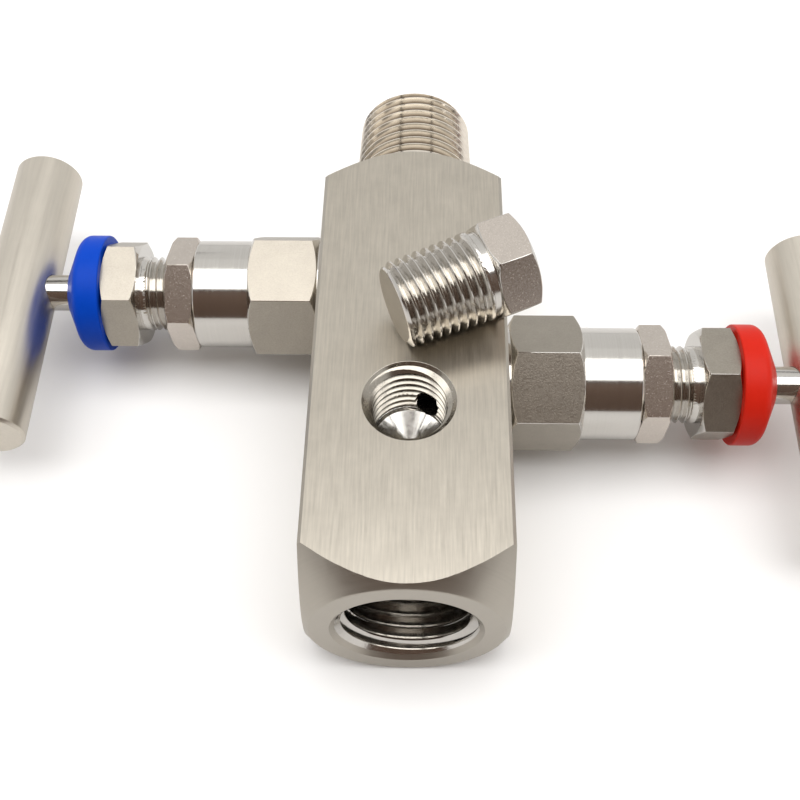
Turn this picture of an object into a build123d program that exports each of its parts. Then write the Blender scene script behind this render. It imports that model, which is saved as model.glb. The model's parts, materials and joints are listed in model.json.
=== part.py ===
from build123d import *
import math
import os
from dataclasses import dataclass

# Two-valve instrument manifold (block and bleed), millimetres.
# +Y runs from the female instrument port to the male process end, +Z is the vent port's side,
# the isolate valve points to -X and the vent valve to +X. The origin is in the bottom face,
# halfway along the square bar.

os.makedirs("parts", exist_ok=True)

# ---- Square bar and its turned ends ----
bar_width = 30.0
bar_length = 84.4               # instrument face to the shoulder behind the process thread
bar_edge_break = 0.5
instrument_face_inset = 0.5     # from the bar's sides to the turned face's edge
process_shoulder_inset = 2.5
turned_end_slope = 45.0         # degrees between the turned cones and the bar's axis
turned_edge_break = 0.3

# ---- Taper pipe threads: the process thread is cut, the others are smooth, male at the crest
# ---- and female at the tapping drill
pipe_taper = 1 / 16             # growth of diameter per length
pipe_thread_height = 0.8        # of the pitch
process_tip_diameter = 20.5     # 1/2-14 taper thread
process_thread_length = 19.1
process_tip_chamfer = 1.2
process_pitch = 25.4 / 14
process_crest_flat = 0.12       # of the pitch
process_root_flat = 0.12        # of the pitch
process_groove_lead = 0.7       # of the pitch: where the groove starts, beyond the tip
process_groove_stop = 1.9       # from the shoulder
process_groove_overshoot = 0.15 # how far the cutter stands out of the crests
plug_tip_diameter = 13.2        # 1/4-18 taper thread
plug_thread_length = 14.6
plug_tip_chamfer = 0.7

# ---- Ports and passages ----
drill_point_angle = 118.0
instrument_port_drill = 18.26
instrument_port_mouth = 22.4
instrument_port_depth = 17.5
vent_port_station = 30.0        # from the instrument face
vent_port_drill = 11.12
vent_port_mouth = 14.1
vent_port_depth = 11.2
inlet_bore = 9.0
inlet_bore_depth = 30.0         # from the process tip
inlet_bore_chamfer = 0.6
inlet_drill = 5.0               # narrower hole that goes on to the isolate valve's seat
inlet_drill_overrun = 2.0       # past the isolate valve's axis
outlet_passage = 4.0
outlet_passage_offset = 6.3     # from the bar's axis, towards the isolate valve
discharge_drill = 4.0
discharge_start_depth = 2.8     # below the vent port's face
discharge_reach_out = 5.8       # where the slanted hole ends, from the bar's axis
discharge_reach_along = 10.5    # where it ends, from the vent port's axis

# ---- Valve pockets in the block, depths from the bar's side face ----
pocket_thread = 16.0
pocket_depth = 6.5
pocket_chamfer = 0.6
chamber_diameter = 10.0
chamber_floor = 4.0             # from the bar's axis, the wall that carries the seat
seat_orifice = 4.4
seat_chamfer = 0.6

# ---- Hexagons and the square bar ----
hex_corner = 1 / math.sqrt(3)   # corner radius over the width across flats
hex_corner_angle = 30.0         # degrees from a flat's middle to its corner
square_corner = math.sqrt(2)    # corner radius over half the width
hex_chamfer_slope = 30.0        # degrees between the chamfer cones and the faces they end
hex_envelope_margin = 1.05      # turned outline over the hexagon's corners

# ---- Bonnet ----
running_clearance = 0.05        # radial, between screwed or sliding round faces
washer_face_height = 0.9
bonnet_hex = 19.4               # across flats
bonnet_hex_end = 12.5           # from the bar's side face
bonnet_hex_chamfer = 1.6        # radial, off the corners
washer_face_inset = 0.45        # radial, inside the hexagon's flats
barrel_diameter = 18.45
bonnet_end = 21.9
barrel_edge_break = 0.4
gasket_thickness = 1.0
gasket_inner_diameter = 10.6
gasket_outer_diameter = 15.4

# ---- Stem packing, from the bar's side face ----
packing_floor = 3.0
packing_bore = 10.4
washer_thickness = 1.0
packing_ring_count = 4
packing_ring_height = 1.4
gland_bush_height = 3.5
adjuster_thread_start = 12.0    # depth of the wide threaded end of the bonnet's bore

# ---- Packing adjuster and its lock nut ----
adjuster_thread = 12.75
adjuster_thread_in_view = 4.9   # between the lock nut and the adjuster's hexagon
adjuster_hex = 17.0
adjuster_hex_length = 6.0
adjuster_hex_chamfer = 1.3
adjuster_collar = 16.0
adjuster_collar_length = 3.65
adjuster_bore_clearance = 0.15
lock_nut_hex = 17.0
lock_nut_height = 4.55
lock_nut_chamfer = 0.9

# ---- Dust cap ----
cap_diameter = 19.96
cap_side_length = 4.05
cap_front_length = 2.6          # from the shoulder to the nose
cap_nose_diameter = 8.8
cap_shoulder_radius = 1.6
cap_front_wall = 1.4
cap_stem_clearance = 0.3

# ---- Stem, tip and handle ----
stem_thread = 8.0
stem_thread_length = 6.6
stem_diameter = 6.2
stem_past_handle_axis = 1.8
stem_edge_break = 0.4
tip_body_diameter = 6.4
tip_body_length = 2.0
tip_nose_diameter = 2.8
tip_shank_diameter = 3.0
tip_button_diameter = 4.2
tip_button_height = 1.6
tip_lip_height = 1.8            # stem's lip that traps the tip's button
tip_end_play = 0.1
seat_gap = 0.3                  # along the axis, between the closed tip's cone and the seat's edge
handle_diameter = 11.8
handle_length = 56.0
handle_gap = 3.4                # between the closed valve's handle and its cap
handle_offset = -0.75           # of the handle's middle from the stem's axis, along the handle
handle_end_chamfer = 0.5
handle_bore_bottom_gap = 0.3
set_screw_diameter = 4.0
set_screw_socket = 2.0          # across flats
set_screw_socket_depth = 1.5
set_screw_sink = 0.3            # below the handle's surface
set_screw_dimple = 0.4          # depth of its seat in the stem

# ---- Loose hex plug ----
plug_hex = 14.2
plug_head_length = 6.4
plug_hex_chamfer = 1.2
plug_neck_undercut = 0.4        # radial, below the thread's large end
plug_neck_length = 1.1          # plain neck between thread and head
plug_x = 11.0                   # where its head starts, from the bar's axis
plug_station = 47.96            # where its head starts, from the instrument face
plug_heading = 23.5             # degrees from +X towards +Y
plug_roll = 3.0                 # degrees from lying square on a flat
plug_rest_gap = 0.05

# ---- Places of the valves, from the instrument face ----
isolate_station = 62.0
vent_station = 43.6

# ---- Worked out from the values above ----
half_width = bar_width / 2
front = -bar_length / 2
overall_length = bar_length + process_thread_length
chamber_depth = half_width - chamber_floor
cone_rise = math.tan(math.radians(turned_end_slope))
point_slope = 1 / math.tan(math.radians(drill_point_angle / 2))
packing_start = packing_floor + washer_thickness
bush_start = packing_start + packing_ring_count * packing_ring_height
bush_end = bush_start + gland_bush_height
adjuster_bore = stem_diameter + 2 * adjuster_bore_clearance
tip_cone_reach = (tip_body_diameter - seat_orifice) / 2 - seat_chamfer
stem_start = seat_gap - chamber_depth + tip_cone_reach + tip_body_length + tip_end_play
lock_nut_end = bonnet_end + lock_nut_height
adjuster_hex_start = lock_nut_end + adjuster_thread_in_view
adjuster_hex_end = adjuster_hex_start + adjuster_hex_length
adjuster_collar_end = adjuster_hex_end + adjuster_collar_length
cap_shoulder = adjuster_hex_end + cap_side_length
cap_end = cap_shoulder + cap_front_length
handle_station = cap_end + handle_gap + handle_diameter / 2

bar_axis = Axis((0, front, half_width), (0, 1, 0))
bar_section = Plane(origin=(0, front, half_width), x_dir=(-1, 0, 0), z_dir=(0, 1, 0))
bar_profile = Plane(origin=(0, front, half_width), x_dir=(0, 1, 0), z_dir=(1, 0, 0))


@dataclass
class Valve:
    """One valve: its place on the bar and how its pieces happen to be turned (degrees)."""

    name: str
    side: int                   # -1 points to -X, +1 points to +X
    station: float              # from the instrument face
    orifice_reach: float        # from the bar's side face
    bonnet_turn: float
    lock_nut_turn: float
    adjuster_turn: float
    handle_turn: float

    def plane(self, distance=0.0):
        """Square to the valve's axis; local x is +Y, local z points outwards."""
        face = Plane(
            origin=(self.side * half_width, front + self.station, half_width),
            x_dir=(0, 1, 0),
            z_dir=(self.side, 0, 0),
        )
        return face.offset(distance)

    def profile(self):
        """Through the valve's axis; local x is the distance outwards, local y the radius."""
        return Plane(origin=self.plane().origin, x_dir=(self.side, 0, 0), z_dir=(0, 0, 1))

    def axis(self):
        return Axis(self.plane().origin, (self.side, 0, 0))


valves = [
    Valve(
        name="isolate",
        side=-1,
        station=isolate_station,
        orifice_reach=half_width,
        bonnet_turn=14.8,
        lock_nut_turn=39.6,
        adjuster_turn=16.0,
        handle_turn=2.2,
    ),
    Valve(
        name="vent",
        side=1,
        station=vent_station,
        orifice_reach=half_width + outlet_passage_offset,
        bonnet_turn=39.2,
        lock_nut_turn=37.3,
        adjuster_turn=54.9,
        handle_turn=3.6,
    ),
]


def save(part, name):
    part.label = name
    export_step(part, f"parts/{name}.step")


def chamfered_hex_envelope(across_flats, start, end, chamfer):
    """Turned outline (distance, radius) whose cones take the corners off a hexagon's ends."""
    corner = across_flats * hex_corner
    outer = corner * hex_envelope_margin
    inner = corner - chamfer
    run = (outer - inner) * math.tan(math.radians(hex_chamfer_slope))
    return [(start, 0), (start, inner), (start + run, outer), (end - run, outer), (end, inner), (end, 0)]


def make_process_groove():
    """Cutter for the process thread: a V swept along a tapering helix, from the tip inwards."""
    depth = pipe_thread_height * process_pitch
    lead = process_groove_lead * process_pitch
    half_opening = (1 - process_crest_flat) * process_pitch / 2
    half_root = process_root_flat * process_pitch / 2
    half_outer = half_opening + process_groove_overshoot * (half_opening - half_root) / depth
    helix_start = Vector(0, front + overall_length + lead, half_width)
    helix = Helix(
        process_pitch,
        lead + process_thread_length - process_groove_stop,
        process_tip_diameter / 2 - lead * pipe_taper / 2,
        center=helix_start,
        direction=(0, -1, 0),
        cone_angle=math.degrees(math.atan(pipe_taper / 2)),
    )
    outwards = (helix @ 0 - helix_start).normalized()
    with BuildPart() as groove:
        with BuildSketch(Plane(origin=helix @ 0, x_dir=outwards, z_dir=helix % 0)):
            with BuildLine():
                Polyline(
                    (-depth, -half_root),
                    (process_groove_overshoot, -half_outer),
                    (process_groove_overshoot, half_outer),
                    (-depth, half_root),
                    close=True,
                )
            make_face()
        sweep(path=helix, is_frenet=True)
    return groove.part


def make_manifold_block():
    """Square bar with turned ends, its ports, valve pockets, seats and flow passages."""
    corner = half_width * square_corner
    face = half_width - instrument_face_inset
    shoulder = half_width - process_shoulder_inset
    tip = process_tip_diameter / 2
    thread_base = tip + process_thread_length * pipe_taper / 2
    turned_outline = [
        (0, 0),
        (0, face - turned_edge_break),
        (turned_edge_break / 2, face),
        (turned_edge_break / 2 + (corner - face) / cone_rise, corner),
        (bar_length - (corner - shoulder) / cone_rise, corner),
        (bar_length, shoulder),
        (bar_length, thread_base),
        (overall_length - process_tip_chamfer, tip + process_tip_chamfer * pipe_taper / 2),
        (overall_length, tip - process_tip_chamfer),
        (overall_length, 0),
    ]
    port = instrument_port_drill / 2
    port_mouth = instrument_port_mouth / 2
    instrument_bore = [
        (0, 0),
        (0, port_mouth),
        (port_mouth - port, port),
        (instrument_port_depth, port),
        (instrument_port_depth + port * point_slope, 0),
    ]
    wide = inlet_bore / 2
    narrow = inlet_drill / 2
    wide_end = overall_length - inlet_bore_depth
    narrow_end = valves[0].station - inlet_drill_overrun
    inlet = [
        (overall_length, 0),
        (overall_length, wide + inlet_bore_chamfer),
        (overall_length - inlet_bore_chamfer, wide),
        (wide_end, wide),
        (wide_end - (wide - narrow) * point_slope, narrow),
        (narrow_end, narrow),
        (narrow_end - narrow * point_slope, 0),
    ]
    with BuildPart() as block:
        with BuildSketch(bar_section):
            Rectangle(bar_width, bar_width)
        extrude(amount=overall_length)
        chamfer(block.edges().filter_by(Axis.Y), length=bar_edge_break)
        with BuildSketch(bar_profile):
            with BuildLine():
                Polyline(*turned_outline, close=True)
            make_face()
        revolve(axis=bar_axis, mode=Mode.INTERSECT)
        for bore in (instrument_bore, inlet):
            with BuildSketch(bar_profile):
                with BuildLine():
                    Polyline(*bore, close=True)
                make_face()
            revolve(axis=bar_axis, mode=Mode.SUBTRACT)

        # vent port, drilled down from the top face
        vent = vent_port_drill / 2
        vent_mouth = vent_port_mouth / 2
        vent_origin = (0, front + vent_port_station, bar_width)
        with BuildSketch(Plane(origin=vent_origin, x_dir=(0, 1, 0), z_dir=(1, 0, 0))):
            with BuildLine():
                Polyline(
                    (0, 0),
                    (vent_mouth, 0),
                    (vent, vent - vent_mouth),
                    (vent, -vent_port_depth),
                    (0, -vent_port_depth - vent * point_slope),
                    close=True,
                )
            make_face()
        revolve(axis=Axis(vent_origin, (0, 0, 1)), mode=Mode.SUBTRACT)

        # valve pockets: thread, gasket floor, chamber, seat and orifice
        for valve in valves:
            thread = pocket_thread / 2
            orifice = seat_orifice / 2
            with BuildSketch(valve.profile()):
                with BuildLine():
                    Polyline(
                        (0, 0),
                        (0, thread + pocket_chamfer),
                        (-pocket_chamfer, thread),
                        (-pocket_depth, thread),
                        (-pocket_depth, chamber_diameter / 2),
                        (-chamber_depth, chamber_diameter / 2),
                        (-chamber_depth, orifice + seat_chamfer),
                        (-chamber_depth - seat_chamfer, orifice),
                        (-valve.orifice_reach, orifice),
                        (-valve.orifice_reach, 0),
                        close=True,
                    )
                make_face()
            revolve(axis=valve.axis(), mode=Mode.SUBTRACT)

        # outlet passage, from the instrument port's floor to the isolate valve's chamber
        passage_start = bar_section.offset(instrument_port_depth)
        with BuildSketch(passage_start):
            with Locations((outlet_passage_offset, 0)):
                Circle(outlet_passage / 2)
        extrude(amount=valves[0].station - instrument_port_depth, mode=Mode.SUBTRACT)

        # discharge hole, drilled at a slant through the vent port into the vent valve's chamber
        slant_start = Vector(vent_origin) - Vector(0, 0, discharge_start_depth)
        slant_end = Vector(discharge_reach_out, vent_origin[1] + discharge_reach_along, half_width)
        slant = slant_end - slant_start
        with BuildSketch(Plane(origin=slant_start, z_dir=slant)):
            Circle(discharge_drill / 2)
        extrude(amount=slant.length, mode=Mode.SUBTRACT)

        add(make_process_groove(), mode=Mode.SUBTRACT)
    save(block.part, "manifold_block")


def make_bonnet(valve):
    """Hex body with a round barrel; holds the stem's thread and the packing."""
    nose = pocket_thread / 2 - running_clearance
    barrel = barrel_diameter / 2
    adjuster_hole = adjuster_thread / 2 + running_clearance
    envelope = chamfered_hex_envelope(bonnet_hex, washer_face_height, bonnet_hex_end, bonnet_hex_chamfer)
    with BuildPart() as bonnet:
        with BuildSketch(valve.plane(washer_face_height)):
            RegularPolygon(bonnet_hex / 2, 6, major_radius=False, rotation=valve.side * valve.bonnet_turn)
        extrude(amount=bonnet_hex_end - washer_face_height)
        with BuildSketch(valve.profile()):
            with BuildLine():
                Polyline(*envelope, close=True)
            make_face()
        revolve(axis=valve.axis(), mode=Mode.INTERSECT)
        with BuildSketch(valve.profile()):
            with BuildLine():
                Polyline(
                    (gasket_thickness - pocket_depth, 0),
                    (gasket_thickness - pocket_depth, nose - pocket_chamfer),
                    (gasket_thickness - pocket_depth + pocket_chamfer, nose),
                    (0, nose),
                    (0, bonnet_hex / 2 - washer_face_inset),
                    (washer_face_height, bonnet_hex / 2 - washer_face_inset),
                    (washer_face_height, barrel),
                    (bonnet_end - barrel_edge_break, barrel),
                    (bonnet_end, barrel - barrel_edge_break),
                    (bonnet_end, 0),
                    close=True,
                )
            make_face()
        revolve(axis=valve.axis())
        with BuildSketch(valve.profile()):
            with BuildLine():
                Polyline(
                    (-pocket_depth, 0),
                    (-pocket_depth, stem_thread / 2 + running_clearance),
                    (packing_floor, stem_thread / 2 + running_clearance),
                    (packing_floor, packing_bore / 2),
                    (adjuster_thread_start, packing_bore / 2),
                    (adjuster_thread_start, adjuster_hole),
                    (bonnet_end - barrel_edge_break, adjuster_hole),
                    (bonnet_end, adjuster_hole + barrel_edge_break),
                    (bonnet_end, 0),
                    close=True,
                )
            make_face()
        revolve(axis=valve.axis(), mode=Mode.SUBTRACT)
    save(bonnet.part, f"{valve.name}_bonnet")


def make_ring(valve, name, inner_diameter, outer_diameter, start, height):
    """Plain ring round the valve's axis: gasket, washer or packing."""
    with BuildPart() as ring:
        with BuildSketch(valve.plane(start)):
            Circle(outer_diameter / 2)
            Circle(inner_diameter / 2, mode=Mode.SUBTRACT)
        extrude(amount=height)
    save(ring.part, f"{valve.name}_{name}")


def make_sealing_rings(valve):
    around_stem = stem_diameter + 2 * running_clearance
    in_bore = packing_bore - 2 * running_clearance
    make_ring(valve, "bonnet_gasket", gasket_inner_diameter, gasket_outer_diameter,
              -pocket_depth, gasket_thickness)
    make_ring(valve, "packing_washer", around_stem, in_bore, packing_floor, washer_thickness)
    for index in range(packing_ring_count):
        start = packing_start + index * packing_ring_height
        make_ring(valve, f"packing_ring_{index + 1}", around_stem, in_bore, start, packing_ring_height)
    make_ring(valve, "gland_bush", around_stem, in_bore, bush_start, gland_bush_height)


def make_packing_adjuster(valve):
    """Hollow screw that presses the gland bush; a hex to turn it and a collar for the cap."""
    thread = adjuster_thread / 2
    collar = adjuster_collar / 2
    envelope = chamfered_hex_envelope(adjuster_hex, adjuster_hex_start, adjuster_hex_end,
                                      adjuster_hex_chamfer)
    with BuildPart() as adjuster:
        with BuildSketch(valve.plane(adjuster_hex_start)):
            RegularPolygon(adjuster_hex / 2, 6, major_radius=False,
                           rotation=valve.side * valve.adjuster_turn)
        extrude(amount=adjuster_hex_end - adjuster_hex_start)
        with BuildSketch(valve.profile()):
            with BuildLine():
                Polyline(*envelope, close=True)
            make_face()
        revolve(axis=valve.axis(), mode=Mode.INTERSECT)
        with BuildSketch(valve.profile()):
            with BuildLine():
                Polyline(
                    (bush_end, 0),
                    (bush_end, thread - barrel_edge_break),
                    (bush_end + barrel_edge_break, thread),
                    (adjuster_hex_start, thread),
                    (adjuster_hex_start, collar),
                    (adjuster_collar_end, collar),
                    (adjuster_collar_end, 0),
                    close=True,
                )
            make_face()
        revolve(axis=valve.axis())
        with BuildSketch(valve.plane(bush_end)):
            Circle(adjuster_bore / 2)
        extrude(amount=adjuster_collar_end - bush_end, mode=Mode.SUBTRACT)
    save(adjuster.part, f"{valve.name}_packing_adjuster")


def make_lock_nut(valve):
    """Thin hex nut on the adjuster's thread, tight against the bonnet's barrel."""
    hole = adjuster_thread / 2 + running_clearance
    envelope = chamfered_hex_envelope(lock_nut_hex, bonnet_end, lock_nut_end, lock_nut_chamfer)
    with BuildPart() as nut:
        with BuildSketch(valve.plane(bonnet_end)):
            RegularPolygon(lock_nut_hex / 2, 6, major_radius=False,
                           rotation=valve.side * valve.lock_nut_turn)
        extrude(amount=lock_nut_height)
        with BuildSketch(valve.profile()):
            with BuildLine():
                Polyline(*envelope, close=True)
            make_face()
        revolve(axis=valve.axis(), mode=Mode.INTERSECT)
        with BuildSketch(valve.plane(bonnet_end)):
            Circle(hole)
        extrude(amount=lock_nut_height, mode=Mode.SUBTRACT)
    save(nut.part, f"{valve.name}_lock_nut")


def make_dust_cap(valve):
    """Moulded cap with a rounded shoulder, pushed on the adjuster's collar."""
    outside = cap_diameter / 2
    nose = cap_nose_diameter / 2
    bore = adjuster_collar / 2 + running_clearance
    hole = stem_diameter / 2 + cap_stem_clearance
    with BuildPart() as cap:
        with BuildSketch(valve.profile()):
            with BuildLine():
                Polyline(
                    (adjuster_hex_end, bore),
                    (adjuster_hex_end, outside),
                    (cap_shoulder, outside),
                    (cap_end, nose),
                    (cap_end, hole),
                    (cap_end - cap_front_wall, hole),
                    (adjuster_collar_end, bore),
                    close=True,
                )
            make_face()
        revolve(axis=valve.axis())
        rim_circles = cap.edges().filter_by(GeomType.CIRCLE).filter_by(
            lambda edge: math.isclose(edge.radius, outside, rel_tol=1e-4)
        )
        fillet(rim_circles.sort_by(valve.axis())[-1], radius=cap_shoulder_radius)
    save(cap.part, f"{valve.name}_dust_cap")


def make_stem(valve):
    """Spindle: trapped tip at its inner end, thread, polished neck, handle at its outer end."""
    thread = stem_thread / 2
    neck = stem_diameter / 2
    stem_end = handle_station + stem_past_handle_axis
    thread_end = stem_start + stem_thread_length
    lip = tip_shank_diameter / 2 + running_clearance
    pocket = tip_button_diameter / 2 + running_clearance
    pocket_start = stem_start + tip_lip_height
    pocket_end = pocket_start + tip_button_height + 2 * tip_end_play
    with BuildPart() as stem:
        with BuildSketch(valve.profile()):
            with BuildLine():
                Polyline(
                    (stem_start, 0),
                    (stem_start, thread - stem_edge_break),
                    (stem_start + stem_edge_break, thread),
                    (thread_end - (thread - neck), thread),
                    (thread_end, neck),
                    (stem_end - stem_edge_break, neck),
                    (stem_end, neck - stem_edge_break),
                    (stem_end, 0),
                    close=True,
                )
            make_face()
        revolve(axis=valve.axis())
        with BuildSketch(valve.profile()):
            with BuildLine():
                Polyline(
                    (stem_start, 0),
                    (stem_start, lip),
                    (pocket_start, lip),
                    (pocket_start, pocket),
                    (pocket_end, pocket),
                    (pocket_end, 0),
                    close=True,
                )
            make_face()
        revolve(axis=valve.axis(), mode=Mode.SUBTRACT)
        with BuildSketch(handle_screw_plane(valve, neck - set_screw_dimple)):
            Circle(set_screw_diameter / 2)
        extrude(amount=set_screw_dimple, mode=Mode.SUBTRACT)
    save(stem.part, f"{valve.name}_stem")


def make_tip(valve):
    """Tip that closes on the seat; it swivels in the stem, so it doesn't turn on the seat."""
    body = tip_body_diameter / 2
    nose = tip_nose_diameter / 2
    shank = tip_shank_diameter / 2
    button = tip_button_diameter / 2
    body_end = stem_start - tip_end_play
    cone_end = body_end - tip_body_length
    nose_start = cone_end - (body - nose)
    button_start = stem_start + tip_lip_height + tip_end_play
    with BuildPart() as tip:
        with BuildSketch(valve.profile()):
            with BuildLine():
                Polyline(
                    (nose_start, 0),
                    (nose_start, nose),
                    (cone_end, body),
                    (body_end, body),
                    (body_end, shank),
                    (button_start, shank),
                    (button_start, button),
                    (button_start + tip_button_height, button),
                    (button_start + tip_button_height, 0),
                    close=True,
                )
            make_face()
        revolve(axis=valve.axis())
    save(tip.part, f"{valve.name}_tip")


def handle_direction(valve):
    turn = math.radians(valve.handle_turn)
    return Vector(0, math.cos(turn), math.sin(turn))


def handle_screw_plane(valve, distance):
    """Square to the set screw, which goes up into the handle from below, square to the stem."""
    along = handle_direction(valve)
    down = Vector(0, along.Z, -along.Y)
    centre = valve.plane(handle_station).origin
    return Plane(origin=centre + down * distance, x_dir=along, z_dir=down)


def make_handle(valve):
    """Round cross bar with a blind hole for the stem and a tapped hole for its set screw."""
    along = handle_direction(valve)
    centre = valve.plane(handle_station).origin
    hole = stem_diameter / 2 + running_clearance
    hole_depth = handle_diameter / 2 + stem_past_handle_axis + handle_bore_bottom_gap
    with BuildPart() as handle:
        near_end = centre + along * (handle_offset - handle_length / 2)
        with BuildSketch(Plane(origin=near_end, z_dir=along)):
            Circle(handle_diameter / 2)
        extrude(amount=handle_length)
        chamfer(handle.edges().filter_by(GeomType.CIRCLE), length=handle_end_chamfer)
        with BuildSketch(valve.plane(handle_station - handle_diameter / 2)):
            Circle(hole)
        extrude(amount=hole_depth, mode=Mode.SUBTRACT)
        with BuildSketch(handle_screw_plane(valve, 0)):
            Circle(set_screw_diameter / 2 + running_clearance)
        extrude(amount=handle_diameter / 2, mode=Mode.SUBTRACT)
    save(handle.part, f"{valve.name}_handle")


def make_set_screw(valve):
    """Grub screw with a hex socket, from its seat on the stem to just below the surface."""
    inner = stem_diameter / 2 - set_screw_dimple + running_clearance
    outer = handle_diameter / 2 - set_screw_sink
    with BuildPart() as screw:
        with BuildSketch(handle_screw_plane(valve, inner)):
            Circle(set_screw_diameter / 2)
        extrude(amount=outer - inner)
        with BuildSketch(handle_screw_plane(valve, outer - set_screw_socket_depth)):
            RegularPolygon(set_screw_socket / 2, 6, major_radius=False)
        extrude(amount=set_screw_socket_depth, mode=Mode.SUBTRACT)
    save(screw.part, f"{valve.name}_set_screw")


def make_vent_plug():
    """Hex-head taper plug that lies on the bar's top face, on its thread's tip and one flat."""
    tip = plug_tip_diameter / 2
    base = tip + plug_thread_length * pipe_taper / 2
    neck = base - plug_neck_undercut
    lowest_corner = plug_hex * hex_corner * math.cos(math.radians(hex_corner_angle - plug_roll))
    lie = math.atan((lowest_corner - tip) / plug_thread_length)
    heading = math.radians(plug_heading)
    along = Vector(
        math.cos(heading) * math.cos(lie),
        math.sin(heading) * math.cos(lie),
        math.sin(lie),
    )
    height = lowest_corner * math.cos(lie) + plug_rest_gap
    head_start = Vector(plug_x, front + plug_station, bar_width + height)
    level = Vector(-math.sin(heading), math.cos(heading), 0)
    head_plane = Plane(origin=head_start, x_dir=level, z_dir=along)
    plug_profile = Plane(origin=head_start, x_dir=along, z_dir=along.cross(level))
    envelope = chamfered_hex_envelope(plug_hex, 0, plug_head_length, plug_hex_chamfer)
    with BuildPart() as plug:
        with BuildSketch(head_plane):
            RegularPolygon(plug_hex / 2, 6, major_radius=False, rotation=plug_roll)
        extrude(amount=plug_head_length)
        with BuildSketch(plug_profile):
            with BuildLine():
                Polyline(*envelope, close=True)
            make_face()
        revolve(axis=Axis(head_start, along), mode=Mode.INTERSECT)
        with BuildSketch(plug_profile):
            with BuildLine():
                Polyline(
                    (-plug_thread_length, 0),
                    (-plug_thread_length, tip - plug_tip_chamfer),
                    (plug_tip_chamfer - plug_thread_length, tip + plug_tip_chamfer * pipe_taper / 2),
                    (-plug_neck_length, base - plug_neck_length * pipe_taper / 2),
                    (-plug_neck_length, neck),
                    (0, neck),
                    (0, 0),
                    close=True,
                )
            make_face()
        revolve(axis=Axis(head_start, along))
    save(plug.part, "vent_plug")


make_manifold_block()
for valve in valves:
    make_bonnet(valve)
    make_sealing_rings(valve)
    make_packing_adjuster(valve)
    make_lock_nut(valve)
    make_dust_cap(valve)
    make_stem(valve)
    make_tip(valve)
    make_handle(valve)
    make_set_screw(valve)
make_vent_plug()
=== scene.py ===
"""Looks of the two-valve instrument manifold: threads, broken edges, steel and plastic finishes."""

import json
import math

import bmesh
import bpy
import numpy as np
from mathutils import Matrix, Vector


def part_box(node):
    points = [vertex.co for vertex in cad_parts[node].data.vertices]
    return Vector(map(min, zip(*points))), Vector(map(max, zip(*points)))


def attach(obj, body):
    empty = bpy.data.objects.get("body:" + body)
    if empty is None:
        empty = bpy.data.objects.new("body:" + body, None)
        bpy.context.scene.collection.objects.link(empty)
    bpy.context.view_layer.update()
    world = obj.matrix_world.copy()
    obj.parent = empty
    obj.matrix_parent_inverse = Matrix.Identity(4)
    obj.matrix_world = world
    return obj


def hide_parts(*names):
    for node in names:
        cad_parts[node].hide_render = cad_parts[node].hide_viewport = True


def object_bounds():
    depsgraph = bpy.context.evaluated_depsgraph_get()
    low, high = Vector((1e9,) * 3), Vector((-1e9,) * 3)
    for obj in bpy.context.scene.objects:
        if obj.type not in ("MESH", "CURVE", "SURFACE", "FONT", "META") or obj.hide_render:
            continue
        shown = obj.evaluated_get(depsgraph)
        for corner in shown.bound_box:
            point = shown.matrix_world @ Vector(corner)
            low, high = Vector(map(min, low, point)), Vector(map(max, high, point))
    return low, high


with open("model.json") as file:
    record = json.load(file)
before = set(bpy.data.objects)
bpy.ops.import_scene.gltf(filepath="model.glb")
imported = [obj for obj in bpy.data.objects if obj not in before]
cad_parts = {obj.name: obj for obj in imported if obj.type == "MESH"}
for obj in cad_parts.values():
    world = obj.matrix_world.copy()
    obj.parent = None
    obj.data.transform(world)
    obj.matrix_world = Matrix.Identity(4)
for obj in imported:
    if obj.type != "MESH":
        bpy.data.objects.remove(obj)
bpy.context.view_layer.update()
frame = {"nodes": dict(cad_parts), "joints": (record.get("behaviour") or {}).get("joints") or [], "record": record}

MM = 0.001
VALVES = ("isolate", "vent")
mounts = {mount["name"]: mount for mount in frame["record"]["mounts"]}

# ---- Taper and parallel threads (mm) ----
HALF_INCH_PITCH = 25.4 / 14
QUARTER_INCH_PITCH = 25.4 / 18
PIPE_THREAD_HEIGHT = 0.8         # of the pitch
PIPE_TAPER = 1 / 32              # growth of radius per length
ADJUSTER_PITCH = 1.25
ADJUSTER_THREAD_HEIGHT = 0.62    # of the pitch
INSTRUMENT_THREAD_MOUTH = 10.61  # radius of the grooves' roots in the port's face
VENT_THREAD_MOUTH = 6.81
VENT_THREAD_PHASE = 0.5          # of a pitch; it sets where the grooves leave the mouth's chamfer
ADJUSTER_THREAD_UNDER_NUT = 1.0  # how far the thread starts inside the lock nut
ADJUSTER_THREAD_SHORT_OF_HEX = 0.25
PLUG_THREAD_END = 14.0           # from the plug's tip
CREST_FLAT = 0.09                # width of the flat crests and roots, of the pitch
CREST_SKIM = 0.02                # how far a cutter's radius lies inside the crests
RUN_OUT_SKIM = -0.06             # the same where the groove has run out, so outside them
THREAD_COLUMNS = 96              # round the axis
THREAD_ROWS = 12                 # along one pitch

# ---- How far a thread's cutter reaches past the crests (mm) ----
PORT_CUTTER_REACH = 2.0
ADJUSTER_CUTTER_REACH = 1.2
PLUG_CUTTER_REACH = 1.6

# ---- Edge breaks (mm) ----
BLOCK_EDGE = 0.12
HEX_EDGE = 0.12
HANDLE_EDGE = 0.25
STEM_EDGE = 0.08
SCREW_EDGE = 0.06
TIP_EDGE = 0.05
CAP_EDGE = 0.3

# ---- Angles between faces from which an edge is sharp (degrees) ----
BROKEN_FROM = 25                 # edges that are broken
SHADED_FROM = 28                 # edges that stay sharp in the shading
BLOCK_SHADED_FROM = 18
CAP_SHADED_FROM = 40

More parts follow.
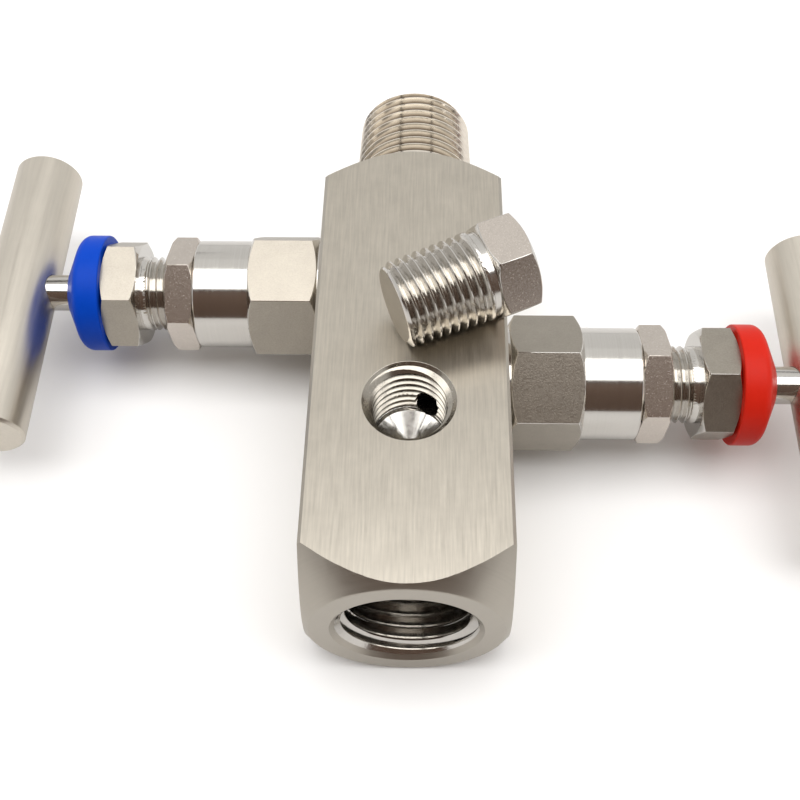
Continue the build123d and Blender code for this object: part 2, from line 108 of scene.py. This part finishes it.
# ---- Which face is which, for the finishes ----
END_FACE_DEPTH = 1.0             # mm from the bar's near end that its end face lies within
INSTRUMENT_PORT_RADIUS = 10.68   # mm
INSTRUMENT_PORT_DEPTH = 19.5     # mm
VENT_PORT_RADIUS = 7.5           # mm
VENT_FLOOR_BELOW_THREAD = 0.1    # mm
PROCESS_THREAD_CORE = 0.7        # of the thread's radius
PLUG_TIP_WINDOW = (0.3, 2.0)     # mm from its tip, where the plug's radius is measured
SAME_PLACE = 0.01                # mm
BEYOND = 0.2                     # mm past a plane or radius that counts as beyond it
VALVE_FLAT_AREA = 12.0           # mm2, smaller than any flat of a valve's hexagons
PLUG_FLAT_AREA = 10.0            # mm2, smaller than any flat of the plug's head
SQUARELY = 0.98                  # cosine to a direction from which a face looks along it
ACROSS = 0.02                    # cosine to a direction below which a face looks across it


# ---- Mesh helpers ----

WELD_DISTANCE = 0.001            # mm
FLAT_WITHIN = 0.4                # degrees
LARGE_FACE_WEIGHT = 80           # 50 would give large and small faces the same say in the shading
CONE_FACETS = 8                  # a cone's point joins at least as many facets
CONE_LEAN = 0.3                  # radians by which they all lean from the point's own normal


def working_copy(node, name):
    """A copy of a CAD node's mesh, welded and with its flat faces whole again."""
    mesh = frame["nodes"][node].data.copy()
    mesh.materials.clear()
    piece = bpy.data.objects.new(name, mesh)
    bpy.context.scene.collection.objects.link(piece)
    form = bmesh.new()
    form.from_mesh(mesh)
    bmesh.ops.remove_doubles(form, verts=form.verts, dist=WELD_DISTANCE * MM)
    bmesh.ops.dissolve_limit(form, angle_limit=math.radians(FLAT_WITHIN), verts=form.verts,
                             edges=form.edges)
    form.to_mesh(mesh)
    form.free()
    return piece


def apply_modifiers(piece):
    graph = bpy.context.evaluated_depsgraph_get()
    made = bpy.data.meshes.new_from_object(piece.evaluated_get(graph))
    piece.modifiers.clear()
    old = piece.data
    piece.data = made
    bpy.data.meshes.remove(old)


def break_edges(piece, width, segments=1, spared=lambda edge: False):
    """Bevels the sharp edges, apart from the spared ones."""
    form = bmesh.new()
    form.from_mesh(piece.data)
    sharp = [edge for edge in form.edges
             if edge.is_manifold and edge.calc_face_angle() > math.radians(BROKEN_FROM)
             and not spared(edge)]
    bmesh.ops.bevel(form, geom=sharp, offset=width * MM, offset_type="OFFSET", segments=segments,
                    profile=0.5, affect="EDGES", clamp_overlap=True)
    form.to_mesh(piece.data)
    form.free()


def cut(piece, cutter):
    boolean = piece.modifiers.new("cut", "BOOLEAN")
    boolean.operation = "DIFFERENCE"
    boolean.solver = "MANIFOLD"
    boolean.object = cutter
    apply_modifiers(piece)
    bpy.data.objects.remove(cutter)


def smooth(piece, sharp_from=SHADED_FROM):
    """Smooth shading that keeps large faces flat and lets the small breaks round into them."""
    piece.data.polygons.foreach_set("use_smooth", [True] * len(piece.data.polygons))
    piece.data.set_sharp_from_angle(angle=math.radians(sharp_from))
    weighted = piece.modifiers.new("weighted", "WEIGHTED_NORMAL")
    weighted.keep_sharp = True
    weighted.weight = LARGE_FACE_WEIGHT
    apply_modifiers(piece)
    open_cone_points(piece.data)


def open_cone_points(mesh):
    """Lets each facet keep its own normal at a cone's point, so a drilled floor has no streaks."""
    normals = [corner.vector.copy() for corner in mesh.corner_normals]
    fans = {}
    for face in mesh.polygons:
        for corner in face.loop_indices:
            fans.setdefault(mesh.loops[corner].vertex_index, []).append((corner, face.normal.copy()))
    for fan in fans.values():
        leans = [normals[corner].angle(normal, 0) for corner, normal in fan]
        if len(fan) >= CONE_FACETS and min(leans) > CONE_LEAN:
            for corner, normal in fan:
                normals[corner] = normal
    mesh.normals_split_custom_set(normals)


def axis_frame(origin, along):
    """Matrix whose Z runs along an axis from origin."""
    along = Vector(along).normalized()
    across = along.orthogonal().normalized()
    turn = Matrix((across, along.cross(across), along)).transposed()
    return Matrix.Translation(origin) @ turn.to_4x4()


def distances(piece, origin, along):
    """Each vertex's distance along an axis and from it."""
    points = np.array([vertex.co for vertex in piece.data.vertices]) - np.array(origin)
    places = points @ np.array(along)
    return places, np.linalg.norm(points - np.outer(places, np.array(along)), axis=1)


# ---- Threads ----

def groove(share):
    """Depth of a V groove with flat crests and roots, from 0 to 1, at a share of the pitch."""
    slope = 1 - abs(2 * (share % 1) - 1)
    return min(max((slope - CREST_FLAT) / (1 - 2 * CREST_FLAT), 0), 1)


def thread_cutter(place, start, end, radius_at_start, taper, height, pitch, plain_radius, run_out,
                  phase=0.0):
    """Closed helical ring between a V thread and a plain cylinder, in mm along place's Z.

    The rows follow the helix, so crests and roots are clean lines. With plain_radius outside
    the thread it cuts a male thread, and inside it cuts a female one. radius_at_start is the
    thread's largest radius there. The groove gets shallower over the last run_out before the end.
    """
    male = plain_radius > radius_at_start
    rows = math.ceil((end - start) / pitch * THREAD_ROWS) - THREAD_ROWS

    def point(threaded, column, row):
        angle = 2 * math.pi * column / THREAD_COLUMNS
        s = start + pitch * (row / THREAD_ROWS + column / THREAD_COLUMNS)
        radius = plain_radius
        if threaded:
            share = min(max((end - s) / run_out, 0), 1)
            depth = height * share * groove(row / THREAD_ROWS + phase)
            skim = CREST_SKIM if share > 0.02 else RUN_OUT_SKIM
            outer = radius_at_start + taper * (s - start)
            radius = outer - skim - depth if male else outer - height + depth - skim
        return place @ (Vector((radius * math.cos(angle), radius * math.sin(angle), s)) * MM)

    points, index = [], {}
    for threaded in (True, False):
        for column in range(THREAD_COLUMNS):
            next_turn = THREAD_ROWS if column == 0 else 0
            for row in range(rows + next_turn + 1):
                index[threaded, column, row] = len(points)
                points.append(tuple(point(threaded, column, row)))

    def corner(threaded, column, row):
        if column == THREAD_COLUMNS:
            return index[threaded, 0, row + THREAD_ROWS]
        return index[threaded, column, row]

    faces = []
    for threaded in (True, False):
        for column in range(THREAD_COLUMNS):
            for row in range(rows):
                quad = [corner(threaded, column, row), corner(threaded, column + 1, row),
                        corner(threaded, column + 1, row + 1), corner(threaded, column, row + 1)]
                faces.append(quad if threaded != male else quad[::-1])
    for last_row, flipped in ((0, male), (rows, not male)):
        quads = [[corner(True, column, last_row), corner(False, column, last_row),
                  corner(False, column + 1, last_row), corner(True, column + 1, last_row)]
                 for column in range(THREAD_COLUMNS)]
        quads += [[corner(True, 0, row), corner(True, 0, row + 1),
                   corner(False, 0, row + 1), corner(False, 0, row)]
                  for row in range(last_row, last_row + THREAD_ROWS)]
        faces += [quad[::-1] if flipped else quad for quad in quads]

    mesh = bpy.data.meshes.new("thread_cutter")
    mesh.from_pydata(points, [], faces)
    cutter = bpy.data.objects.new("thread_cutter", mesh)
    bpy.context.scene.collection.objects.link(cutter)
    return cutter


# ---- Materials ----

MIX_FIRST, MIX_SECOND, MIX_RESULT = 6, 7, 2   # colour sockets of a Mix node


def new_material(name):
    material = bpy.data.materials.new(name)
    material.use_nodes = True
    nodes = material.node_tree.nodes
    return material, nodes, material.node_tree.links, nodes["Principled BSDF"]


def noise(nodes, links, scale, detail=3.0):
    """Noise over the shared frame's metres, with its own scale along each axis."""
    place = nodes.new("ShaderNodeTexCoord")
    stretch = nodes.new("ShaderNodeMapping")
    stretch.inputs["Scale"].default_value = scale
    texture = nodes.new("ShaderNodeTexNoise")
    texture.inputs["Scale"].default_value = 1.0
    texture.inputs["Detail"].default_value = detail
    texture.inputs["Roughness"].default_value = 0.6
    links.new(place.outputs["Object"], stretch.inputs["Vector"])
    links.new(stretch.outputs["Vector"], texture.inputs["Vector"])
    return texture.outputs["Fac"]


def remap(nodes, links, value, low, high, to_low, to_high):
    node = nodes.new("ShaderNodeMapRange")
    node.inputs["From Min"].default_value = low
    node.inputs["From Max"].default_value = high
    node.inputs["To Min"].default_value = to_low
    node.inputs["To Max"].default_value = to_high
    links.new(value, node.inputs["Value"])
    return node.outputs["Result"]


def multiply_add(nodes, links, value, factor, added):
    node = nodes.new("ShaderNodeMath")
    node.operation = "MULTIPLY_ADD"
    links.new(value, node.inputs[0])
    node.inputs[1].default_value = factor
    links.new(added, node.inputs[2])
    return node.outputs[0]


def mix(nodes, links, share, first, second):
    """Colour between two, each of them a constant or another node's output."""
    node = nodes.new("ShaderNodeMix")
    node.data_type = "RGBA"
    links.new(share, node.inputs[0])
    for socket, colour in ((MIX_FIRST, first), (MIX_SECOND, second)):
        if isinstance(colour, bpy.types.NodeSocket):
            links.new(colour, node.inputs[socket])
        else:
            node.inputs[socket].default_value = (*colour, 1)
    return node.outputs[MIX_RESULT]


def shade(colour, factor):
    return [min(c * factor, 1) for c in colour]


def add_relief(nodes, links, shader, height, distance, strength):
    relief = nodes.new("ShaderNodeBump")
    relief.inputs["Strength"].default_value = strength
    relief.inputs["Distance"].default_value = distance * MM
    links.new(height, relief.inputs["Height"])
    links.new(relief.outputs["Normal"], shader.inputs["Normal"])


def steel(name, colour, roughness, grain, colour_swing, rough_swing, relief, anisotropic=0.0):
    """Stainless steel whose marks are noise stretched along the grain's long direction."""
    material, nodes, links, shader = new_material(name)
    shader.inputs["Metallic"].default_value = 1.0
    if anisotropic:
        shader.inputs["Anisotropic"].default_value = anisotropic
        tangent = nodes.new("ShaderNodeTangent")
        tangent.direction_type = "RADIAL"
        tangent.axis = "Y"
        links.new(tangent.outputs["Tangent"], shader.inputs["Tangent"])
    marks = noise(nodes, links, grain)
    patches = noise(nodes, links, (350.0,) * 3, detail=2.0)
    tone = remap(nodes, links, multiply_add(nodes, links, patches, 0.35, marks), 0.35, 1.0, 0.0, 1.0)
    tinted = mix(nodes, links, tone, shade(colour, 1 - colour_swing), shade(colour, 1 + colour_swing))
    links.new(tinted, shader.inputs["Base Color"])
    rough = remap(nodes, links, marks, 0.25, 0.75, roughness - rough_swing, roughness + rough_swing)
    links.new(rough, shader.inputs["Roughness"])
    add_relief(nodes, links, shader, marks, relief, 1.0)
    return material


def paint_groove_shade(material, colour):
    """Paints shade into the process thread's grooves, darker towards their roots."""
    nodes, links = material.node_tree.nodes, material.node_tree.links
    base_colour = nodes["Principled BSDF"].inputs["Base Color"]
    process = mounts["process_inlet"]
    place = nodes.new("ShaderNodeTexCoord")
    across = nodes.new("ShaderNodeMapping")
    across.inputs["Location"].default_value = (0, 0, -process["pos_m"][2])
    across.inputs["Scale"].default_value = (1, 0, 1)
    radius = nodes.new("ShaderNodeVectorMath")
    radius.operation = "LENGTH"
    split = nodes.new("ShaderNodeSeparateXYZ")
    links.new(place.outputs["Object"], across.inputs["Vector"])
    links.new(place.outputs["Object"], split.inputs[0])
    links.new(across.outputs["Vector"], radius.inputs[0])
    untapered = multiply_add(nodes, links, split.outputs["Y"], PIPE_TAPER, radius.outputs["Value"])
    crest = process["dims"]["r_mm"] * MM + process["pos_m"][1] * PIPE_TAPER
    depth = remap(nodes, links, untapered, crest - 0.3 * MM, crest - 1.1 * MM, 0, 1)
    links.new(mix(nodes, links, depth, base_colour.links[0].from_socket, colour), base_colour)


def plastic(name, colour, specular=0.5):
    """Moulded plastic with faint patches."""
    material, nodes, links, shader = new_material(name)
    patches = noise(nodes, links, (900.0,) * 3, detail=4.0)
    tinted = mix(nodes, links, patches, shade(colour, 0.93), shade(colour, 1.06))
    links.new(tinted, shader.inputs["Base Color"])
    links.new(remap(nodes, links, patches, 0.3, 0.7, 0.36, 0.46), shader.inputs["Roughness"])
    shader.inputs["Specular IOR Level"].default_value = specular
    add_relief(nodes, links, shader, patches, 0.01, 0.6)
    return material


WARM_STEEL = (0.60, 0.55, 0.47)
BRIGHT_STEEL = (0.63, 0.605, 0.565)
GRAINY_STEEL = (0.385, 0.350, 0.298)
# colour of the painted shade in the process thread's grooves
GROOVE_SHADE = (0.26, 0.20, 0.145)

# steel: name, colour, roughness, grain along x, y and z (marks per metre), then how far colour
# and roughness swing and the marks' relief (mm)
materials = {
    "brushed_y": steel("steel_brushed_along_bar", WARM_STEEL, 0.38, (3200, 130, 3200), 0.15, 0.06, 0.004,
                       anisotropic=0.7),
    "turned_y": steel("steel_turned_round_y", (0.46, 0.425, 0.37), 0.36, (60, 5200, 60), 0.05, 0.05, 0.001),
    "turned_x": steel("steel_turned_round_x", BRIGHT_STEEL, 0.13, (5200, 60, 60), 0.05, 0.04, 0.003),
    "hex_grain": steel("steel_hex_grain", GRAINY_STEEL, 0.36, (4200,) * 3, 0.16, 0.08, 0.022),
    "nut_face": steel("steel_nut_face", (0.62, 0.56, 0.50), 0.24, (4200,) * 3, 0.12, 0.05, 0.005),
    "male_thread": steel("steel_male_thread", (0.90, 0.83, 0.73), 0.13, (900,) * 3, 0.08, 0.05, 0.004),
    "thread": steel("steel_thread", BRIGHT_STEEL, 0.16, (900,) * 3, 0.08, 0.05, 0.004),
    "port": steel("steel_port_wall", (0.40, 0.37, 0.32), 0.24, (1500,) * 3, 0.10, 0.05, 0.004),
    "handle": steel("steel_satin_handle", (0.65, 0.60, 0.52), 0.36, (2400, 60, 2400), 0.06, 0.04, 0.0015),
    "stem": steel("steel_polished_stem", BRIGHT_STEEL, 0.12, (4200, 60, 60), 0.04, 0.03, 0.003),
    "screw": steel("steel_dark_screw", (0.12, 0.12, 0.12), 0.35, (3000,) * 3, 0.1, 0.05, 0.006),
    "gasket": steel("steel_gasket", (0.5, 0.49, 0.46), 0.35, (3000,) * 3, 0.08, 0.05, 0.006),
    "seal": plastic("packing_plastic", (0.80, 0.79, 0.74)),
    "blue": plastic("cap_blue_plastic", (0.0008, 0.052, 0.45), specular=0.10),
    "red": plastic("cap_red_plastic", (0.55, 0.016, 0.006), specular=0.12),
}
# painted shade: the process thread's grooves darken towards their roots
paint_groove_shade(materials["male_thread"], GROOVE_SHADE)


def paint(piece, *finishes, choose=None):
    """Gives a piece its materials; choose names the one for each face."""
    piece.data.materials.clear()
    for finish in finishes:
        piece.data.materials.append(materials[finish])
    for face in piece.data.polygons:
        face.material_index = finishes.index(choose(face)) if choose else 0


def put(piece, body, node):
    """Lets a piece stand for its CAD node and ride on its body."""
    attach(piece, body)
    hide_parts(node)


def dress(node, finish):
    """Gives a CAD node that stays as it is its material."""
    mesh = frame["nodes"][node].data
    mesh.materials.clear()
    mesh.materials.append(materials[finish])


# ---- Manifold block ----

def cut_instrument_thread(piece, low, centre_height):
    port = mounts["instrument_port"]["dims"]
    from_face = axis_frame(Vector((0, low.y, centre_height)), (0, 1, 0))
    cut(piece, thread_cutter(
        from_face, -HALF_INCH_PITCH, port["length_mm"],
        INSTRUMENT_THREAD_MOUTH + HALF_INCH_PITCH * PIPE_TAPER, -PIPE_TAPER,
        PIPE_THREAD_HEIGHT * HALF_INCH_PITCH, HALF_INCH_PITCH, port["r_mm"] - PORT_CUTTER_REACH,
        run_out=2 * HALF_INCH_PITCH))


def cut_vent_thread(piece, high):
    vent = mounts["vent_port"]
    from_top = axis_frame(Vector((0, vent["pos_m"][1], high.z)), (0, 0, -1))
    cut(piece, thread_cutter(
        from_top, -QUARTER_INCH_PITCH, vent["dims"]["length_mm"] + QUARTER_INCH_PITCH,
        VENT_THREAD_MOUTH + QUARTER_INCH_PITCH * PIPE_TAPER, -PIPE_TAPER,
        PIPE_THREAD_HEIGHT * QUARTER_INCH_PITCH, QUARTER_INCH_PITCH,
        vent["dims"]["r_mm"] - PORT_CUTTER_REACH,
        run_out=1.5 * QUARTER_INCH_PITCH, phase=VENT_THREAD_PHASE))


def make_block():
    piece = working_copy("manifold_block", "block_with_threads")
    low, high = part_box("manifold_block")
    centre_height = (high.z + low.z) / 2
    half_width = (high.x - low.x) / 2
    process, vent = mounts["process_inlet"]["dims"], mounts["vent_port"]
    bar_end = high.y - process["length_mm"] * MM
    below_thread = process["r_mm"] * MM * PROCESS_THREAD_CORE
    vent_floor = high.z - (vent["dims"]["length_mm"] + VENT_FLOOR_BELOW_THREAD) * MM

    def on_process_thread(edge):
        middle = (edge.verts[0].co + edge.verts[1].co) / 2
        from_axis = math.hypot(middle.x, middle.z - centre_height)
        return middle.y > bar_end + BEYOND * MM and from_axis > below_thread

    def finish_of(face):
        c, n = face.center, face.normal
        from_axis = math.hypot(c.x, c.z - centre_height)
        from_side = abs(max(abs(c.x), abs(c.z - centre_height)) - half_width)
        if n.y < -SQUARELY and c.y < low.y + END_FACE_DEPTH * MM:
            return "turned_y"
        if from_side < SAME_PLACE * MM and max(abs(n.x), abs(n.z)) > SQUARELY:
            return "brushed_y"
        if c.y > bar_end + SAME_PLACE * MM:
            return "turned_y" if abs(n.y) > SQUARELY or from_axis < below_thread else "male_thread"
        if from_axis < INSTRUMENT_PORT_RADIUS * MM and c.y < low.y + INSTRUMENT_PORT_DEPTH * MM:
            return "thread"
        # The vent port's drilled floor, below its thread, is painted with the brighter thread steel as painted
        # light; its walls take the darker port steel.
        if math.hypot(c.x, c.y - vent["pos_m"][1]) < VENT_PORT_RADIUS * MM and c.z > centre_height:
            return "thread" if c.z < vent_floor else "port"
        return "turned_y"

    break_edges(piece, BLOCK_EDGE, spared=on_process_thread)
    cut_instrument_thread(piece, low, centre_height)
    cut_vent_thread(piece, high)
    smooth(piece, BLOCK_SHADED_FROM)
    paint(piece, "brushed_y", "turned_y", "thread", "port", "male_thread", choose=finish_of)
    put(piece, "root", "manifold_block")


# ---- One valve ----

def valve_axis(valve):
    """Origin on the bar's side face and outward direction of one valve's axis."""
    joint = next(joint for joint in frame["joints"] if joint["name"] == f"{valve}_turn")
    return Vector(joint["pos_m"]), Vector(joint["axis"])


def hex_or_turned(outward):
    """Chooses the grained finish for a hexagon's large flats and the turned one for the rest."""

    def choose(face):
        flat = abs(face.normal.dot(outward)) < ACROSS and face.area > VALVE_FLAT_AREA * MM**2
        return "hex_grain" if flat else "turned_x"

    return choose


def make_bonnet(valve, outward):
    piece = working_copy(f"{valve}_bonnet", f"{valve}_bonnet_body")
    break_edges(piece, HEX_EDGE)
    smooth(piece)
    paint(piece, "hex_grain", "turned_x", choose=hex_or_turned(outward))
    put(piece, "root", f"{valve}_bonnet")


def make_lock_nut(valve):
    piece = working_copy(f"{valve}_lock_nut", f"{valve}_lock_nut_body")
    break_edges(piece, HEX_EDGE)
    smooth(piece)
    paint(piece, "nut_face")
    put(piece, "root", f"{valve}_lock_nut")


def make_adjuster(valve, origin, outward):
    """The packing adjuster, with its thread cut from inside the lock nut to its hexagon."""
    piece = working_copy(f"{valve}_packing_adjuster", f"{valve}_adjuster_body")
    break_edges(piece, HEX_EDGE)
    nut_low, nut_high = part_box(f"{valve}_lock_nut")
    nut_end = max(abs(nut_low[0]), abs(nut_high[0])) - abs(origin.x)
    along, radius = distances(piece, origin, outward)
    thread_radius = float(radius[along < (along.min() + along.max()) / 2].max())
    hex_start = float(along[radius > thread_radius + BEYOND * MM].min())
    cut(piece, thread_cutter(
        axis_frame(origin, outward), nut_end / MM - ADJUSTER_THREAD_UNDER_NUT,
        hex_start / MM - ADJUSTER_THREAD_SHORT_OF_HEX, thread_radius / MM, 0.0,
        ADJUSTER_THREAD_HEIGHT * ADJUSTER_PITCH, ADJUSTER_PITCH,
        thread_radius / MM + ADJUSTER_CUTTER_REACH, run_out=0.8 * ADJUSTER_PITCH))
    smooth(piece)
    paint(piece, "hex_grain", "turned_x", choose=hex_or_turned(outward))
    put(piece, "root", f"{valve}_packing_adjuster")


def make_dust_cap(valve):
    colour = "blue" if valve == "isolate" else "red"
    piece = working_copy(f"{valve}_dust_cap", f"{valve}_cap_moulding")
    break_edges(piece, CAP_EDGE, segments=3)
    smooth(piece, CAP_SHADED_FROM)
    paint(piece, colour)
    put(piece, "root", f"{valve}_dust_cap")


def make_moving_pieces(valve):
    """Stem, handle and set screw on the turning body, and the tip on the sliding one."""
    for part, body, finish, slot, edge, segments in (
        ("stem", "stem", "stem", "stem_steel", STEM_EDGE, 2),
        ("handle", "stem", "handle", "handle_steel", HANDLE_EDGE, 2),
        ("set_screw", "stem", "screw", "screw_steel", SCREW_EDGE, 2),
        ("tip", "tip", "stem", "stem_steel", TIP_EDGE, 1),
    ):
        piece = working_copy(f"{valve}_{part}", f"{valve}_{part}_body")
        break_edges(piece, edge, segments)
        smooth(piece)
        paint(piece, finish)
        put(piece, f"{valve}_{body}", f"{valve}_{part}")


def make_valve(valve):
    origin, outward = valve_axis(valve)
    make_bonnet(valve, outward)
    make_lock_nut(valve)
    make_adjuster(valve, origin, outward)
    make_dust_cap(valve)
    make_moving_pieces(valve)
    for part in ("bonnet_gasket", "packing_washer", "gland_bush"):
        dress(f"{valve}_{part}", "gasket")
    for number in (1, 2, 3, 4):
        dress(f"{valve}_packing_ring_{number}", "seal")


# ---- Loose plug ----

def make_plug():
    """The plug, whose axis is found from its head's end face, the largest flat one."""
    piece = working_copy("vent_plug", "plug_with_thread")
    head_face = max(piece.data.polygons, key=lambda face: face.area)
    toward_head = head_face.normal.copy()
    tip_face = max((face for face in piece.data.polygons if face.normal.dot(toward_head) < -SQUARELY),
                   key=lambda face: face.area * (head_face.center - face.center).length)
    tip = head_face.center - toward_head * (head_face.center - tip_face.center).dot(toward_head)
    along, radius = distances(piece, tip, toward_head)
    near_tip = (along > PLUG_TIP_WINDOW[0] * MM) & (along < PLUG_TIP_WINDOW[1] * MM)
    tip_radius = float((radius[near_tip] - along[near_tip] * PIPE_TAPER).max()) / MM
    break_edges(piece, HEX_EDGE)
    cut(piece, thread_cutter(
        axis_frame(tip, toward_head), -QUARTER_INCH_PITCH, PLUG_THREAD_END,
        tip_radius - QUARTER_INCH_PITCH * PIPE_TAPER, PIPE_TAPER,
        PIPE_THREAD_HEIGHT * QUARTER_INCH_PITCH, QUARTER_INCH_PITCH,
        tip_radius + PLUG_CUTTER_REACH, run_out=1.2 * QUARTER_INCH_PITCH))
    smooth(piece)

    def finish_of(face):
        s = (face.center - tip).dot(toward_head)
        upright = face.normal.dot(toward_head)
        if s < BEYOND * MM and upright < -SQUARELY:
            return "hex_grain"
        on_head = s > PLUG_THREAD_END * MM
        flat = abs(upright) < ACROSS and face.area > PLUG_FLAT_AREA * MM**2
        return "nut_face" if on_head and flat else "thread"

    paint(piece, "nut_face", "thread", "hex_grain", choose=finish_of)
    put(piece, "root", "vent_plug")


# ---- Studio: floor, lamps, dark cards, world and camera ----

FLOOR_LIT = (0.70, 0.695, 0.69)      # what the floor gives back to the part
FLOOR_SEEN = (0.90, 0.893, 0.885)    # what the camera sees of it
WORLD_COLOUR = (1.0, 0.995, 0.985)
CAMERA_PLACE = (0.00215, -0.1042, 0.1668)
CAMERA_PITCH, CAMERA_YAW, CAMERA_ROLL = -55.963, -0.868, -0.219


def make_floor():
    low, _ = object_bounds()
    bpy.ops.mesh.primitive_plane_add(size=6.0, location=(0, 0, low.z))
    floor = bpy.context.object
    floor.name = "floor"
    material, nodes, links, shader = new_material("floor_white")
    path = nodes.new("ShaderNodeLightPath")
    tone = mix(nodes, links, path.outputs["Is Camera Ray"], FLOOR_LIT, FLOOR_SEEN)
    links.new(tone, shader.inputs["Base Color"])
    shader.inputs["Roughness"].default_value = 0.6
    shader.inputs["Specular IOR Level"].default_value = 0.2
    floor.data.materials.append(material)


def make_card(name, centre, size, facing, colour):
    """Flat card that only reflections and soft light see."""
    bpy.ops.mesh.primitive_plane_add(size=1.0, location=centre)
    card = bpy.context.object
    card.name = name
    card.scale = (*size, 1)
    card.rotation_mode = "QUATERNION"
    card.rotation_quaternion = Vector(facing).to_track_quat("Z", "Y")
    material, _, _, shader = new_material(name)
    shader.inputs["Base Color"].default_value = (*colour, 1)
    shader.inputs["Roughness"].default_value = 1.0
    shader.inputs["Specular IOR Level"].default_value = 0.0
    card.data.materials.append(material)
    card.visible_camera = False
    card.visible_shadow = False


def make_lamp(name, centre, size, radiance):
    """Rectangular soft lamp over the part that shines straight down, with its face's brightness."""
    data = bpy.data.lights.new(name, "AREA")
    data.shape = "RECTANGLE"
    data.size, data.size_y = size
    data.energy = radiance * math.pi * size[0] * size[1]
    lamp = bpy.data.objects.new(name, data)
    bpy.context.scene.collection.objects.link(lamp)
    lamp.location = centre
    lamp.visible_camera = False


def make_world(radiance):
    """White for the camera, and dimmer for what the part reflects."""
    world = bpy.data.worlds.new("studio")
    bpy.context.scene.world = world
    world.use_nodes = True
    nodes, links = world.node_tree.nodes, world.node_tree.links
    background = nodes["Background"]
    background.inputs["Color"].default_value = (*WORLD_COLOUR, 1)
    background.inputs["Strength"].default_value = radiance
    seen = nodes.new("ShaderNodeBackground")
    seen.inputs["Strength"].default_value = 1.0
    path = nodes.new("ShaderNodeLightPath")
    either = nodes.new("ShaderNodeMixShader")
    links.new(path.outputs["Is Camera Ray"], either.inputs[0])
    links.new(background.outputs[0], either.inputs[1])
    links.new(seen.outputs[0], either.inputs[2])
    links.new(either.outputs[0], nodes["World Output"].inputs["Surface"])


def make_camera():
    """Looks down on the part from over its instrument end."""
    pitch, yaw, roll = (math.radians(angle) for angle in (CAMERA_PITCH, CAMERA_YAW, CAMERA_ROLL))
    ahead = Vector((math.sin(yaw) * math.cos(pitch), math.cos(yaw) * math.cos(pitch), math.sin(pitch)))
    level = Vector((math.cos(yaw), -math.sin(yaw), 0))
    above = level.cross(ahead)
    right = level * math.cos(roll) + above * math.sin(roll)
    up = above * math.cos(roll) - level * math.sin(roll)
    data = bpy.data.cameras.new("camera")
    data.sensor_width = 36.0
    data.lens = 50.34
    data.shift_x, data.shift_y = -0.018, -0.0029
    data.clip_start, data.clip_end = 0.01, 20
    camera = bpy.data.objects.new("camera", data)
    bpy.context.scene.collection.objects.link(camera)
    turn = Matrix((right, up, -ahead)).transposed()
    camera.matrix_world = Matrix.Translation(CAMERA_PLACE) @ turn.to_4x4()
    bpy.context.scene.camera = camera


make_block()
for valve in VALVES:
    make_valve(valve)
make_plug()

make_floor()
make_world(0.8)
make_lamp("overhead_lamp", (0, -0.08, 0.8), (1.8, 0.62), 2.65)
make_lamp("far_lamp", (0, 0.45, 0.8), (1.6, 0.5), 0.08)
make_card("front_card", (-0.45, -0.5, 0.47), (2.1, 0.94), (0, 1, 0), (0.11, 0.075, 0.058))
make_card("left_frame_bar", (-0.40, 0.35, 0.79), (0.08, 2.2), (0, 0, -1), (0.02, 0.016, 0.012))
make_card("right_frame_bar", (0.53, 0.35, 0.79), (0.08, 2.2), (0, 0, -1), (0.02, 0.016, 0.012))
make_camera()
bpy.context.scene.view_settings.view_transform = "Standard"
